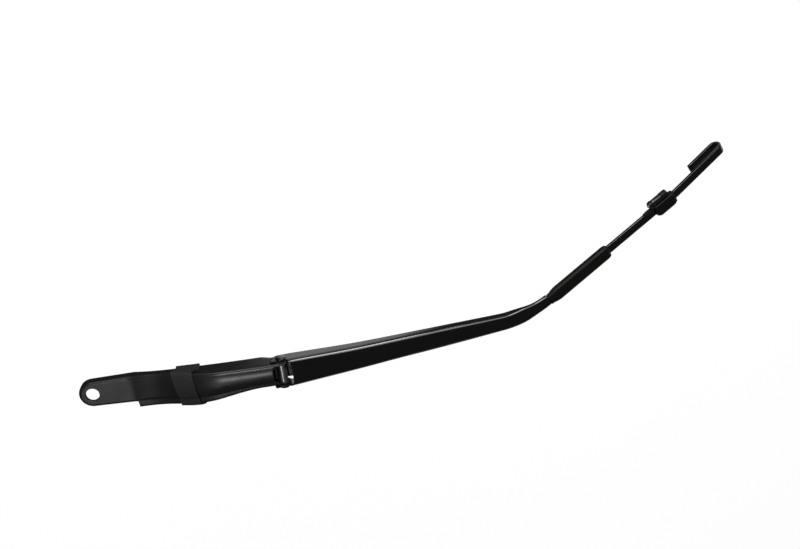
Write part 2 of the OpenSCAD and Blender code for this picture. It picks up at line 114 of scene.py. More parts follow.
def closedSheet(outer, inner, edge):
    end = rimPoints(outer[-1], inner[-1], unit(outer[-2] - outer[-1]), edge)
    start = rimPoints(outer[0], inner[0], unit(outer[1] - outer[0]), edge)
    return np.array(list(outer[1:-1]) + end + list(inner[-2:0:-1]) + start[::-1])


def sheetLoop(line, thickness, edge):
    return closedSheet(np.asarray(line, float), shifted(line, -thickness), edge)


def sectionAt(x, loop):
    return np.column_stack([np.full(len(loop), x), loop])


def sideways(place):
    # for an outline drawn in the side view, with its depth across the arm
    return lambda p: place((p[0], p[2], p[1]))


def lengthwise(place, y, z, x=0.0):
    # for a shape turned about Z that lies along X
    return lambda p: place((p[2] + x, y + p[0], z + p[1]))


# meshes
def linked(name, data):
    thing = bpy.data.objects.new(name, data)
    bpy.context.scene.collection.objects.link(thing)
    return thing


def newPiece(name, verts, faces):
    mesh = bpy.data.meshes.new(name)
    mesh.from_pydata([tuple(v) for v in np.asarray(verts, float) * milli], [], faces)
    mesh.validate()
    return linked(name, mesh)


def gridFaces(count, size, first=0, closed=True):
    faces = []
    for i in range(count - 1):
        a, b = first + i * size, first + (i + 1) * size
        for j in range(size if closed else size - 1):
            k = (j + 1) % size
            faces.append((a + j, a + k, b + k, b + j))
    return faces


def loftPiece(name, rings):
    size, last = len(rings[0]), len(rings) - 1
    faces = gridFaces(len(rings), size)
    faces.append(tuple(range(size))[::-1])
    faces.append(tuple(last * size + j for j in range(size)))
    return newPiece(name, np.vstack(rings), faces)


def spunPiece(name, profile, steps=96):
    # profile: (radius, height) pairs from axis to axis, turned about Z
    verts, rows = [], []
    angles = [2 * math.pi * k / steps for k in range(steps)]
    for r, z in profile:
        if r < 1e-6:
            rows.append([len(verts)] * steps)
            verts.append((0, 0, z))
        else:
            rows.append(list(range(len(verts), len(verts) + steps)))
            verts += [(r * math.cos(a), r * math.sin(a), z) for a in angles]
    faces = []
    for low, high in zip(rows[:-1], rows[1:]):
        for k in range(steps):
            n = (k + 1) % steps
            loop = [low[k], low[n], high[n], high[k]]
            faces.append(tuple(dict.fromkeys(loop)))
    return newPiece(name, verts, faces)


def roundBar(name, radius, low, high):
    return spunPiece(name, [(0, low), (radius, low), (radius, high), (0, high)])


def prism(outline, low, high, place):
    # a flat outline drawn out from low to high, put in place by a function
    n = len(outline)
    verts = [place((x, y, z)) for z in (low, high) for x, y in outline]
    faces = [(i, (i + 1) % n, n + (i + 1) % n, n + i) for i in range(n)]
    return newPiece("prism", verts, faces + [tuple(range(n))[::-1], tuple(range(n, 2 * n))])


def outwards(piece):
    bm = bmesh.new()
    bm.from_mesh(piece.data)
    bmesh.ops.remove_doubles(bm, verts=bm.verts, dist=mergeWithin)
    bmesh.ops.recalc_face_normals(bm, faces=bm.faces)
    bm.to_mesh(piece.data)
    bm.free()
    return piece


def applied(piece):
    evaluated = piece.evaluated_get(bpy.context.evaluated_depsgraph_get())
    mesh = bpy.data.meshes.new_from_object(evaluated)
    piece.modifiers.clear()
    piece.data = mesh
    return piece


def combined(piece, other, operation):
    outwards(other)
    step = piece.modifiers.new(operation, "BOOLEAN")
    step.operation = operation
    step.solver = "MANIFOLD"
    step.object = other
    applied(piece)
    bpy.data.objects.remove(other)
    return piece


def cutFrom(piece, *others):
    for other in others:
        combined(piece, other, "DIFFERENCE")
    return piece


def finished(piece, bevel=0.0, sharpFrom=38):
    # small bevels on the cut edges, then smooth shading between the sharp ones
    if bevel:
        step = piece.modifiers.new("edges", "BEVEL")
        step.width = bevel * milli
        step.segments = 2
        step.limit_method = "ANGLE"
        step.angle_limit = math.radians(bevelFrom)
        applied(piece)
    bm = bmesh.new()
    bm.from_mesh(piece.data)
    for face in bm.faces:
        face.smooth = True
    sharp = math.radians(sharpFrom)
    for edge in bm.edges:
        edge.smooth = len(edge.link_faces) == 2 and edge.calc_face_angle(0) < sharp
    bm.to_mesh(piece.data)
    bm.free()
    return piece


def moved(piece, place):
    pts = np.array([v.co for v in piece.data.vertices]) / milli
    piece.data.vertices.foreach_set("co", (np.array([place(p) for p in pts]) * milli).ravel())
    piece.data.update()
    return piece


# materials
def addNode(nodes, kind, values=None):
    node = nodes.new(kind)
    for socket, value in (values or {}).items():
        node.inputs[socket].default_value = value
    return node


def joinAll(links, pairs):
    for source, output, target, socket in pairs:
        links.new(source.outputs[output], target.inputs[socket])


def finishMaterial(name, look):
    # one paint, plastic or metal: two tones in soft clouds, uneven gloss and a fine skin
    material = bpy.data.materials.new(name)
    material.use_nodes = True
    nodes = material.node_tree.nodes
    shader, where = nodes["Principled BSDF"], nodes.new("ShaderNodeTexCoord")
    clouds = addNode(nodes, "ShaderNodeTexNoise", {"Scale": look["cloudScale"], "Detail": 4})
    grain = addNode(nodes, "ShaderNodeTexNoise", {"Scale": look["grainScale"], "Detail": 2})
    tones = nodes.new("ShaderNodeMix")
    tones.data_type = "RGBA"
    tones.inputs["A"].default_value = (*look["dark"], 1.0)
    tones.inputs["B"].default_value = (*look["light"], 1.0)
    smoothest, roughest = look["roughness"]
    gloss = addNode(nodes, "ShaderNodeMapRange", {
        "From Min": 0.3, "From Max": 0.7, "To Min": smoothest, "To Max": roughest})
    skin = addNode(nodes, "ShaderNodeBump", {
        "Strength": look["grainStrength"], "Distance": look["grainDepth"]})
    joinAll(material.node_tree.links, [
        (where, "Object", clouds, "Vector"), (where, "Object", grain, "Vector"),
        (clouds, "Fac", tones, "Factor"), (tones, "Result", shader, "Base Color"),
        (clouds, "Fac", gloss, "Value"), (gloss, "Result", shader, "Roughness"),
        (grain, "Fac", skin, "Height"), (skin, "Normal", shader, "Normal")])
    shader.inputs["Metallic"].default_value = look.get("metallic", 0.0)
    shader.inputs["Specular IOR Level"].default_value = look.get("specular", 0.5)
    shader.inputs["Coat Weight"].default_value = look.get("coat", 0.0)
    shader.inputs["Coat Roughness"].default_value = look.get("coatRoughness", 0.1)
    return material


looks = {
    "black_steel": {
        "dark": (0.0075, 0.0075, 0.0078), "light": (0.010, 0.010, 0.0102),
        "roughness": (0.30, 0.36), "cloudScale": 60, "grainScale": 1500,
        "grainStrength": 0.10, "grainDepth": 0.00008},
    "gloss_black_steel": {
        "dark": (0.0024, 0.0024, 0.0025), "light": (0.0034, 0.0034, 0.0035),
        "roughness": (0.13, 0.17), "cloudScale": 60, "grainScale": 1300,
        "grainStrength": 0.05, "grainDepth": 0.00005, "coat": 0.35, "coatRoughness": 0.08},
    "clip_plastic": {
        "dark": (0.017, 0.017, 0.0172), "light": (0.022, 0.022, 0.0222),
        "roughness": (0.50, 0.58), "cloudScale": 40, "grainScale": 2600,
        "grainStrength": 0.35, "grainDepth": 0.00012, "specular": 0.35},
    "sleeve_plastic": {
        "dark": (0.0045, 0.0047, 0.0040), "light": (0.0065, 0.0067, 0.0058),
        "roughness": (0.42, 0.50), "cloudScale": 40, "grainScale": 2600,
        "grainStrength": 0.3, "grainDepth": 0.0001, "specular": 0.2},
    "jet_plastic": {
        "dark": (0.005, 0.005, 0.005), "light": (0.008, 0.008, 0.008),
        "roughness": (0.22, 0.28), "cloudScale": 80, "grainScale": 2200,
        "grainStrength": 0.1, "grainDepth": 0.00006},
    "washer_plastic": {
        "dark": (0.012, 0.012, 0.012), "light": (0.018, 0.018, 0.018),
        "roughness": (0.4, 0.5), "cloudScale": 90, "grainScale": 2600,
        "grainStrength": 0.2, "grainDepth": 0.0001},
    "zinc_steel": {
        "dark": (0.38, 0.385, 0.40), "light": (0.56, 0.57, 0.59),
        "roughness": (0.24, 0.36), "cloudScale": 160, "grainScale": 1800,
        "grainStrength": 0.12, "grainDepth": 0.00005, "metallic": 1.0},
    "spring_steel": {
        "dark": (0.07, 0.07, 0.073), "light": (0.13, 0.13, 0.134),
        "roughness": (0.30, 0.42), "cloudScale": 120, "grainScale": 1600,
        "grainStrength": 0.15, "grainDepth": 0.00005, "metallic": 1.0},
    "brass": {
        "dark": (0.48, 0.36, 0.15), "light": (0.66, 0.50, 0.24),
        "roughness": (0.22, 0.3), "cloudScale": 300, "grainScale": 2600,
        "grainStrength": 0.1, "grainDepth": 0.00003, "metallic": 1.0},
}
materials = {name: finishMaterial(name, look) for name, look in looks.items()}
print("materials made")


def wear(thing, slotName):
    thing.data.materials.clear()
    thing.data.materials.append(materials[slotName])


def dress(piece, slotName, body, *nodes):
    wear(piece, slotName)
    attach(piece, body)
    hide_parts(*nodes)
    return piece


# pressed head: a sheet section that changes along X, turned round the bore at the eye
head = {
    "boreRadius": 6.25, "boreChamfer": 0.35, "drillPast": 5.0,
    "collarDepth": 3.2, "collarWall": 2.2, "collarSink": 0.5,
    "eyeRadius": 12.7, "eyeDepth": 9.5, "thickness": 2.4, "edgeRadius": 3.0, "rimRounding": 0.35,
    "plateLength": 36.0, "plateWidening": 2.0, "plainEdge": 1.0, "rampLength": 86.0,
    "creaseSlope": 0.17, "creaseStart": 8.0, "creaseRun": 34.0,
    "crownRise": 18.5, "crownLift": 3.0, "crownDome": 2.2, "crownPast": 1.0,
    "crownCut": 0.4, "crownCorner": (2.0, 3.0),
    "rimRise": 15.0, "earlyRise": 11.0, "earlyRun": 35.0, "rimEnd": 12.0,
    "wallFlare": 0.6, "flareFade": 20.0,
    "ledgeX": 40.0, "ledgeShare": 0.6, "ledgeCut": 0.4, "ledgeWidth": 5.8, "ledgeFace": 5.4,
    "ledgeDrop": 1.2, "ledgeRun": 20.0, "ledgeFirst": 0.3, "stepHalf": 0.6,
    "cheekHalf": 11.5, "cheekRadius": 6.6, "taperGap": 8.9, "edgeBevel": 0.25,
    "wallPoints": 3, "arcPoints": 9, "facePoints": 4, "stepPoints": 4, "domePoints": 9,
    "plateRings": 8, "ledgeRings": 34, "crownRings": 50, "cheekRings": 8, "eyeRings": 48,
    "cheekPoints": 40,
}
hinge = {"x": 178.0, "z": 15.0, "rivet": 6.0, "gap": 0.05, "headDiameter": 10.0,
         "headHeight": 1.6, "earRadius": 9.0, "washer": 0.7, "runGap": 0.3}

rivetHole = hinge["rivet"] / 2 + hinge["gap"]
crownEnd = hinge["x"] - hinge["earRadius"] + head["crownPast"]
cheekX = hinge["x"] - hinge["earRadius"] - hinge["runGap"]
headEnd = hinge["x"] + head["cheekRadius"]
ledgeEnd = head["plateLength"] + head["rampLength"] * head["ledgeShare"]
taperEnd = cheekX - head["taperGap"]


def webZ(x):
    # the press leaves a slight crease where the ramp starts
    h = head
    half = h["plateLength"] + h["rampLength"] / 2
    run = max(0, x - h["plateLength"])
    ramp = mix(h["creaseSlope"] * run, h["crownRise"] * smooth(run / h["rampLength"]),
               (run - h["creaseStart"]) / h["creaseRun"])
    return ramp + h["crownLift"] * smooth((x - half) / (crownEnd - half))


def rimZ(x):
    # the rim climbs early along the ledge and meets the cheeks' height at the end
    h = head
    early = h["earlyRise"] * (1 - math.exp(-max(0, x - h["ledgeX"]) / h["earlyRun"]))
    full = h["rimRise"] * smooth((x - h["ledgeX"]) / (crownEnd - h["ledgeX"]))
    return mix(early, full, (x - crownEnd + h["rimEnd"]) / h["rimEnd"]) - h["eyeDepth"]


def upperHalf(x):
    start = head["plateLength"]
    return mix(head["eyeRadius"], head["cheekHalf"], (x - start) / (cheekX - start))


def lowerHalf(x):
    h = head
    if x < h["ledgeX"]:
        return h["eyeRadius"] + h["plateWidening"] * x / h["ledgeX"]
    full = h["eyeRadius"] + h["plateWidening"] + h["ledgeWidth"]
    return mix(full, h["cheekHalf"], (x - ledgeEnd) / (taperEnd - ledgeEnd))


def ledgeInner(x):
    h = head
    face = h["plainEdge"]
    if x >= h["ledgeX"]:
        face = mix(h["ledgeFace"], h["plainEdge"], (x - ledgeEnd) / (cheekX - ledgeEnd))
    return lowerHalf(x) - h["edgeRadius"] - face


def headLine(x):
    # outer line from the rim on the ledge side over the crown to the other rim
    h = head
    low, up, inner, wz, r = lowerHalf(x), upperHalf(x), ledgeInner(x), webZ(x), h["edgeRadius"]
    drop, past = 0, x - h["ledgeX"]
    if past >= 0:
        drop = mix(0, h["ledgeDrop"], past / h["ledgeRun"] + h["ledgeFirst"])
    lz, rz = wz - drop, rimZ(x)
    ramp = smooth((x - h["plateLength"]) / h["rampLength"])
    dome = h["crownDome"] * ramp
    flare = h["wallFlare"] * ramp * smooth((headEnd - x) / h["flareFade"])
    step = h["stepHalf"]
    y0, y1 = step - inner, up - r

    def domeZ(y):
        u = (y - y0) / (y1 - y0)
        return wz + dome * (1 - (2 * u - 1) ** 2)

    w, q, s, d = h["wallPoints"], h["facePoints"], h["stepPoints"], h["domePoints"]
    lower = [(-low, z) for z in evenly(rz, lz - r, w)[:-1]]
    lower += arc(-low + r, lz - r, r, 180, 90, h["arcPoints"])
    lower += [(y, lz) for y in evenly(-low + r, -inner - step, q)[1:]]
    lower += [(2 * step * u - inner - step, mix(lz, wz, u)) for u in evenly(0, 1, s)[1:]]
    lower += [(y, domeZ(y)) for y in evenly(y0, 0, d)[1:-1]]
    upper = [(y, domeZ(y)) for y in evenly(0, y1, q + s + d)[1:-1]]
    upper += arc(up - r, wz - r, r, 90, 0, h["arcPoints"])
    upper += [(up + flare * u, wz - r + (rz - wz + r) * u) for u in evenly(0, 1, w)[1:]]
    return lower + [(0.0, domeZ(0.0))] + upper


def headRing(x):
    return sectionAt(x, sheetLoop(headLine(x), head["thickness"], head["rimRounding"]))


def eyeRings(count):
    # the section at the bore has two halves, each from the middle of the outer face over the
    # rim to the middle of the inner face: one turns into the other round the end
    line = headLine(0)
    loop = sheetLoop(line, head["thickness"], head["rimRounding"])
    n, m = len(line), len(loop)
    middle = (n - 1) // 2 - 1
    inside = n + 4 + (n - 2 - (n - 1) // 2)
    upper = loop[middle:inside + 1]
    lower = np.array([loop[(middle - k) % m] for k in range(m - (inside - middle) + 1)])
    rings = []
    for share in evenly(0, 1, count):
        angle = math.pi / 2 + math.pi * share
        out = (1 - share) * upper[:, 0] - share * lower[:, 0]
        high = (1 - share) * upper[:, 1] + share * lower[:, 1]
        rings.append(np.column_stack([out * math.cos(angle), out * math.sin(angle), high]))
    return rings


def makeHead():
    h = head
    stations = sorted(set(
        evenly(0, h["plateLength"], h["plateRings"]) + [h["ledgeX"] - h["ledgeCut"]]
        + evenly(h["ledgeX"], ledgeEnd, h["ledgeRings"])
        + evenly(ledgeEnd, cheekX, h["crownRings"])[1:]
        + evenly(cheekX, headEnd, h["cheekRings"])[1:]))
    rings = [headRing(x) for x in stations]
    size = len(rings[0])
    verts = np.vstack(rings)
    faces = gridFaces(len(rings), size)
    faces.append(tuple((len(rings) - 1) * size + j for j in range(size)))
    eye = eyeRings(h["eyeRings"])
    faces += gridFaces(len(eye), len(eye[0]), len(verts), closed=False)
    piece = outwards(newPiece("headPressing", np.vstack([verts] + eye), faces))

    bore, depth = h["boreRadius"], h["collarDepth"]
    cut, past = h["boreChamfer"], h["drillPast"]
    collar = roundBar("collar", bore + h["collarWall"], -depth, -h["collarSink"])
    combined(piece, collar, "UNION")
    mouth, over = bore + cut, 0.001
    drill = spunPiece("drill", [
        (0, -depth - past), (mouth + past, -depth - past), (mouth, -depth - over),
        (bore, -depth + cut), (bore, -cut), (mouth, over), (mouth + past, past), (0, past)])

    x, z = hinge["x"], hinge["z"]
    far, wide, beyond = cutter["far"], cutter["wide"], x + cutter["near"]
    ends = [(x, z - far), (beyond, z - far), (beyond, z + far), (x, z + far)]
    ends += arc(x, z, h["cheekRadius"], 90, -90, h["cheekPoints"])
    half = h["cheekHalf"] - h["thickness"]
    start, (along, across) = crownEnd - h["crownCut"], h["crownCorner"]
    opening = [(beyond, -half), (beyond, half), (start + along, half), (start, half - across),
               (start, across - half), (start + along, -half)]
    cutFrom(piece, drill, prism(ends, -wide, wide, sideways(tuple)),
            prism(circle(x, z, rivetHole), -wide, wide, sideways(tuple)),
            prism(opening, z, z + wide, tuple))
    return finished(piece, h["edgeBevel"])


headPiece = dress(makeHead(), "black_steel", "head", "mounting_head")
print("head made", len(headPiece.data.polygons))

# clip round the head: follows the same section with its own wall
clip = {"x": 80.0, "width": 22.0, "thickness": 1.5, "hook": 2.2, "rimRounding": 0.3,
        "seat": 0.08, "frontSkew": (0.0, -4.4), "backSkew": (-3.6, -6.6), "tabDrop": 4.0,
        "tabStart": 2.0, "tabFlare": 3.0, "edgeBevel": 0.3, "rings": 24,
        "nearBefore": 8, "nearAfter": 5, "nearStep": 0.5}


def clipLoop(x):
    line = np.array(headLine(x))
    around = np.vstack([line[:1] + [clip["hook"], 0], line, line[-1:] - [clip["hook"], 0]])
    outer = shifted(around, clip["thickness"] + clip["seat"])
    return closedSheet(outer, shifted(around, clip["seat"]), clip["rimRounding"])


def clipShift(x, u, p):
    # the band over the crown is skewed and narrower than its two tabs
    across = smooth((p[0] + lowerHalf(x)) / (lowerHalf(x) + upperHalf(x)))
    front, back = [a + (b - a) * across for a, b in (clip["frontSkew"], clip["backSkew"])]
    onTop = smooth((p[1] - webZ(x) + clip["tabStart"] + clip["tabDrop"]) / clip["tabDrop"])
    flare = clip["tabFlare"] * u * (1 - across)
    return (front + (back - front) * u) * onTop + flare * (1 - onTop)


def makeClip():
    # each point slides along the head, so that the skewed band still lies on it
    v = clip
    near = np.arange(v["x"] - v["nearBefore"], v["x"] + v["width"] + v["nearAfter"], v["nearStep"])
    loops = np.array([clipLoop(x) for x in near])
    rings = []
    for u in evenly(0, 1, v["rings"]):
        x = v["x"] + v["width"] * u
        ring = []
        for j, p in enumerate(clipLoop(x)):
            at = x + clipShift(x, u, p)
            y, z = [np.interp(at, near, loops[:, j, k]) for k in (0, 1)]
            ring.append((at, y, z))
        rings.append(np.array(ring))
    return finished(outwards(loftPiece("headClip", rings)), v["edgeBevel"])


dress(makeClip(), "clip_plastic", "head", "head_clip")
print("clip made")

# arm and rod: one run of frames from the hinge to the hook
channel = {
    "thickness": 1.2, "length": 239.0, "pitch": 5.0, "yaw": 2.3,
    "leadX": 70.0, "leadRadius": 1200.0, "bendRadius": 110.0, "rollStart": 80.0, "rollStop": 20.0,
    "top": 8.5, "topStop": 75.0, "topPower": 1.35, "drop": 8.2, "wallRise": 4.2,
    "neckHalf": 7.4, "sidePower": 1.15, "neckBefore": 6.0, "neckRun": 20.0,
    "shoulder": 4.5, "farShoulder": 5.2, "shoulderRun": 60.0,
    "shoulderLoss": 2.4, "lossStart": 150.0,
    "foldRadius": 2.3, "foldBend": (6, 84), "lip": (0.4, 1.4),
    "crimpBefore": 18.0, "crimpRun": 26.0, "rimRounding": 0.25, "edgeBevel": 0.25,
    "windowReach": 8.5, "windowCorner": 5.0, "windowLead": 4.0, "windowDip": 0.4,
    "windowHigh": 10.0, "earTop": 4.3, "earCorner": 1.5, "earCut": 3.0, "earPast": 0.5,
    "elbowSwell": 1.6, "elbowAt": 244.0, "elbowRun": 17.0,
    "bellySwell": 2.0, "bellyAt": 165.0, "bellyRun": 48.0,
    "facePoints": 5, "shoulderPoints": 11, "foldPoints": 7, "earPoints": (32, 16),
    "windowPoints": 14, "earRings": 26, "bowRings": 12, "runRings": 50, "bendRings": 32,
}
rod = {
    "width": 9.0, "thickness": 3.0, "corner": 0.8, "cornerPoints": 6, "edgeBevel": 0.3,
    "start": 120.0, "eye": 5.0, "eyeGap": 1.0, "length": 190.0, "yaw": 28.4, "pitch": 6.8,
    "secondRadius": 60.0, "tipLength": 68.5, "tipYaw": 32.0, "tipPitch": 9.0, "roll": 11.0,
    "hookGap": 7.8, "hookLeg": 38.0, "startRings": 14, "bendRings": 28, "middleRings": 10,
    "secondRings": 10, "hookRings": 40, "legRings": 6,
}
earHalf = head["cheekHalf"] + hinge["washer"] + hinge["runGap"] + channel["thickness"]


def armPlace(p):
    tilted = turn("Y", channel["pitch"]) @ np.asarray(p, float)
    return np.array([hinge["x"], 0, hinge["z"]]) + tilted


def sideAxis(d, roll):
    flat = unit([-d[1], d[0], 0])
    a = math.radians(roll)
    return flat * math.cos(a) + np.cross(d, flat) * math.sin(a)


def armRoll(s):
    c = channel
    run = c["length"] - c["rollStop"] - c["rollStart"]
    return mix(0, rod["roll"], (s - c["rollStart"]) / run)


def straight(p, d, s0, runs):
    return [(p + d * t, d, sideAxis(d, armRoll(s0 + t)), s0 + t) for t in runs]


def cornerLength(d0, d1, r):
    return r * math.tan(math.acos(d0 @ d1) / 2)


def corner(p, d0, d1, r, s0, n):
    full = math.acos(d0 @ d1)
    a = p - d0 * cornerLength(d0, d1, r)
    out = []
    for i in range(n + 1):
        f = full * i / n
        ahead0, ahead1 = math.cos(full - f) - math.cos(full), 1 - math.cos(f)
        q = a + r * (d0 * ahead0 + d1 * ahead1) / math.sin(full)
        d = unit((d0 * math.sin(full - f) + d1 * math.sin(f)) / math.sin(full))
        s = s0 + (2 * i / n - 1) * cornerLength(d0, d1, r)
        out.append((q, d, sideAxis(d, armRoll(s)), s))
    return out


ahead = np.array([1.0, 0.0, 0.0])
armDir = heading(0, channel["yaw"])
rodDir = heading(rod["pitch"], rod["yaw"])
tipDir = heading(rod["tipPitch"], rod["tipYaw"])
leadPoint = np.array([channel["leadX"], 0, 0])
bendPoint = leadPoint + armDir * (channel["length"] - channel["leadX"])
secondPoint = bendPoint + rodDir * rod["length"]
bendReach = cornerLength(armDir, rodDir, channel["bendRadius"])
secondReach = cornerLength(rodDir, tipDir, rod["secondRadius"])
leadReach = cornerLength(ahead, armDir, channel["leadRadius"])
rodTop = rod["thickness"] / 2 + seat
crimpHalf = rod["width"] / 2 + 2 * seat + channel["thickness"]
crimpStart = channel["length"] - channel["crimpBefore"]


def placed(step, pts):
    p, d, side, s = step
    up = np.cross(d, side)
    return np.array([armPlace(p + side * a + up * b) for a, b in pts])


def channelSide(s):
    # half of the channel's outer line, from the middle of its face to the fold of its rim
    c = channel
    long, lowest = c["length"], rodTop + c["thickness"]
    fall = (1 - min(1, max(0, s / (long - c["topStop"])))) ** c["topPower"]
    topZ = lowest + (c["top"] - lowest) * fall
    run = min(1, max(0, (s - hinge["earRadius"]) / (long - hinge["earRadius"])))
    taper = c["neckHalf"] + (earHalf - c["neckHalf"]) * (1 - run) ** c["sidePower"]
    half = mix(taper, crimpHalf, (s - long + c["neckBefore"]) / c["neckRun"])
    pressed = (s - crimpStart) / c["crimpRun"]
    crimp, fold = smooth(pressed), c["foldRadius"]
    lowZ = mix(c["wallRise"] * run - c["drop"], fold - lowest, pressed)
    r = mix(c["shoulder"], c["farShoulder"], s / c["shoulderRun"])
    r -= mix(0, c["shoulderLoss"], (s - c["lossStart"]) / (long - c["lossStart"]))
    bend, lip = [first + more * crimp for first, more in (c["foldBend"], c["lip"])]
    upper = arc(half - r, topZ - r, r, 90, 0, c["shoulderPoints"])
    lower = arc(half - fold, lowZ, fold, 0, -bend, c["foldPoints"])
    wall = [(half, z) for z in evenly(topZ - r, lowZ, c["facePoints"])[1:-1]]
    face = [(y, topZ) for y in evenly(0, half - r, c["facePoints"])[1:-1]]
    a = math.radians(bend)
    tail = (lower[-1][0] - lip * math.sin(a), lower[-1][1] - lip * math.cos(a))
    return face + upper + wall + lower + [tail]


def channelRing(step):
    # the sheet swells a little, on one side at the elbow and on the other before it
    c, side, s = channel, channelSide(step[3]), step[3]
    half = max(y for y, z in side)
    elbow = 1 + c["elbowSwell"] / half * math.exp(-((s - c["elbowAt"]) / c["elbowRun"]) ** 2)
    belly = 1 + c["bellySwell"] / half * math.exp(-((s - c["bellyAt"]) / c["bellyRun"]) ** 2)
    line = [(-y * belly, z) for y, z in side[::-1]] + [(0, side[0][1])]
    line += [(y * elbow, z) for y, z in side]
    return placed(step, sheetLoop(line, c["thickness"], c["rimRounding"]))


def makeChannel():
    c, ear = channel, hinge["earRadius"]
    far, wide, near = cutter["far"], cutter["wide"], cutter["near"]
    tip, run = -ear - c["earCorner"], c["length"] - c["leadX"]
    steps = straight(np.zeros(3), ahead, 0,
                     evenly(tip - c["earPast"], c["leadX"] - leadReach - 1, c["earRings"]))
    steps += corner(leadPoint, ahead, armDir, c["leadRadius"], c["leadX"], c["bowRings"])
    steps += straight(leadPoint, armDir, c["leadX"],
                      evenly(leadReach + 2, run - bendReach - 2, c["runRings"]))
    steps += corner(bendPoint, armDir, rodDir, c["bendRadius"], c["length"], c["bendRings"])
    piece = outwards(loftPiece("armPressing", [channelRing(step) for step in steps]))

    # ears: round below the rivet, one with a square corner, the other round all the way
    lowPoints, highPoints = c["earPoints"]
    below = [(-near, -far), (0, -far)] + arc(0, 0, ear, 270, 180, lowPoints)
    square = below[:-1] + [(tip, c["earTop"] - c["earCut"]), (tip, far), (-near, far)]
    rounded = below + arc(0, 0, ear, 180, 120, highPoints)[1:] + [(-ear / 2, far), (-near, far)]
    # their straight top edge runs up to the opening over the hinge
    edge = c["windowReach"]
    above = [(-near, c["earTop"]), (edge - c["windowLead"], c["earTop"] - c["windowDip"]),
             (edge, c["windowHigh"]), (edge, far), (-near, far)]
    half, r, n = earHalf - c["thickness"], c["windowCorner"], c["windowPoints"]
    window = [(-far, -half)] + arc(edge - r, r - half, r, -90, 0, n)
    window += arc(edge - r, half - r, r, 0, 90, n) + [(-far, half)]
    fromSide = sideways(armPlace)
    cutFrom(piece, prism(square, 0, wide, fromSide), prism(rounded, -wide, 0, fromSide),
            prism(above, -wide, wide, fromSide),
            prism(circle(0, 0, rivetHole), -wide, wide, fromSide),
            prism(window, 0, wide, armPlace))
    return finished(piece, c["edgeBevel"])


channelPiece = dress(makeChannel(), "gloss_black_steel", "arm", "arm_channel")
print("channel made", len(channelPiece.data.polygons))

# spring: a wire along a path, and a bent strap that hooks it on the head's pin
wire = {
    "diameter": 2.2, "sides": 12, "coilDiameter": 11.0, "turns": 27, "stepsPerTurn": 24,
    "coilX": 15.0, "coilLength": 83.0, "fall": 2.0, "sideShare": 0.75, "bush": 8.0,
    "firstTail": (8.0, 4.0), "lastTail": (6.0, 1.0), "eyeTail": (4.0, 1.2), "eyePast": 0.5,
    "pin": 4.0, "pinX": -7.0, "hookGap": 0.18, "strapHalf": 8.2, "strapThickness": 1.4,
    "strapArc": (30, 265, 30), "strapBend": (2.5, 0.5), "strapDip": 1.0, "strapEnd": (2.0, 0.2),
}
springZ = -(wire["bush"] + wire["diameter"]) / 2 - hinge["runGap"]
springEyeX = rod["start"] + rod["eye"]
springEyeY = (springEyeX - channel["leadX"]) * math.tan(math.radians(channel["yaw"]))

hookRadius = (rod["hookGap"] + rod["thickness"]) / 2
hookEnd = hookRadius + rod["thickness"] / 2
hookStart = secondPoint + tipDir * (rod["tipLength"] - hookEnd)
hookSide = sideAxis(tipDir, rod["roll"])
hookUp = np.cross(tipDir, hookSide)


def hookStep(angle):
    a = math.radians(angle)
    p = hookStart + hookRadius * (tipDir * math.sin(a) + hookUp * (math.cos(a) - 1))
    return (p, tipDir * math.cos(a) - hookUp * math.sin(a), hookSide, 0)


def makeRod():
    c, v = channel, rod
    long, run = c["length"], c["length"] - c["leadX"]
    steps = straight(leadPoint, armDir, c["leadX"],
                     evenly(v["start"] - c["leadX"], run - bendReach - 4, v["startRings"]))
    steps += corner(bendPoint, armDir, rodDir, c["bendRadius"], long, v["bendRings"])
    steps += straight(bendPoint, rodDir, long,
                      evenly(bendReach + 8, v["length"] - secondReach - 8, v["middleRings"]))
    steps += corner(secondPoint, rodDir, tipDir, v["secondRadius"], long + v["length"],
                    v["secondRings"])
    steps += [hookStep(a) for a in evenly(0, 180, v["hookRings"])]
    p, d, side, s = steps[-1]
    leg = v["hookLeg"] - hookEnd
    steps += [(p - tipDir * leg * u, d, side, s) for u in evenly(0, 1, v["legRings"])[1:]]
    section = roundedBox(v["width"], v["thickness"], v["corner"], v["cornerPoints"])
    piece = outwards(loftPiece("hookRod", [placed(step, section) for step in steps]))
    hole = circle(springEyeX, springEyeY, wire["diameter"] / 2 + v["eyeGap"], 32)
    cutFrom(piece, prism(hole, -cutter["low"], cutter["low"], armPlace))
    return finished(piece, v["edgeBevel"])


dress(makeRod(), "gloss_black_steel", "arm", "hook_rod")
print("rod made")


def wireTree():
    # lays a round wire along a path
    tree = bpy.data.node_groups.new("wireAlongPath", "GeometryNodeTree")
    face, nodes, inputs = tree.interface, tree.nodes, {}
    for name, kind in (("Path", "Geometry"), ("Wire Radius", "Float"), ("Sides", "Int"),
                       ("Finish", "Material")):
        socket = face.new_socket(name, in_out="INPUT", socket_type="NodeSocket" + kind)
        inputs[name] = socket.identifier
    face.new_socket("Wire", in_out="OUTPUT", socket_type="NodeSocketGeometry")
    start, end = nodes.new("NodeGroupInput"), nodes.new("NodeGroupOutput")
    ring = nodes.new("GeometryNodeCurvePrimitiveCircle")
    skin = addNode(nodes, "GeometryNodeCurveToMesh", {"Fill Caps": True})
    real = nodes.new("GeometryNodeRealizeInstances")
    dressed = nodes.new("GeometryNodeSetMaterial")
    joinAll(tree.links, [
        (start, "Path", skin, "Curve"), (start, "Wire Radius", ring, "Radius"),
        (start, "Sides", ring, "Resolution"), (ring, "Curve", skin, "Profile Curve"),
        (skin, "Mesh", real, "Geometry"), (real, "Geometry", dressed, "Geometry"),
        (start, "Finish", dressed, "Material"), (dressed, "Geometry", end, "Wire")])
    return tree, inputs


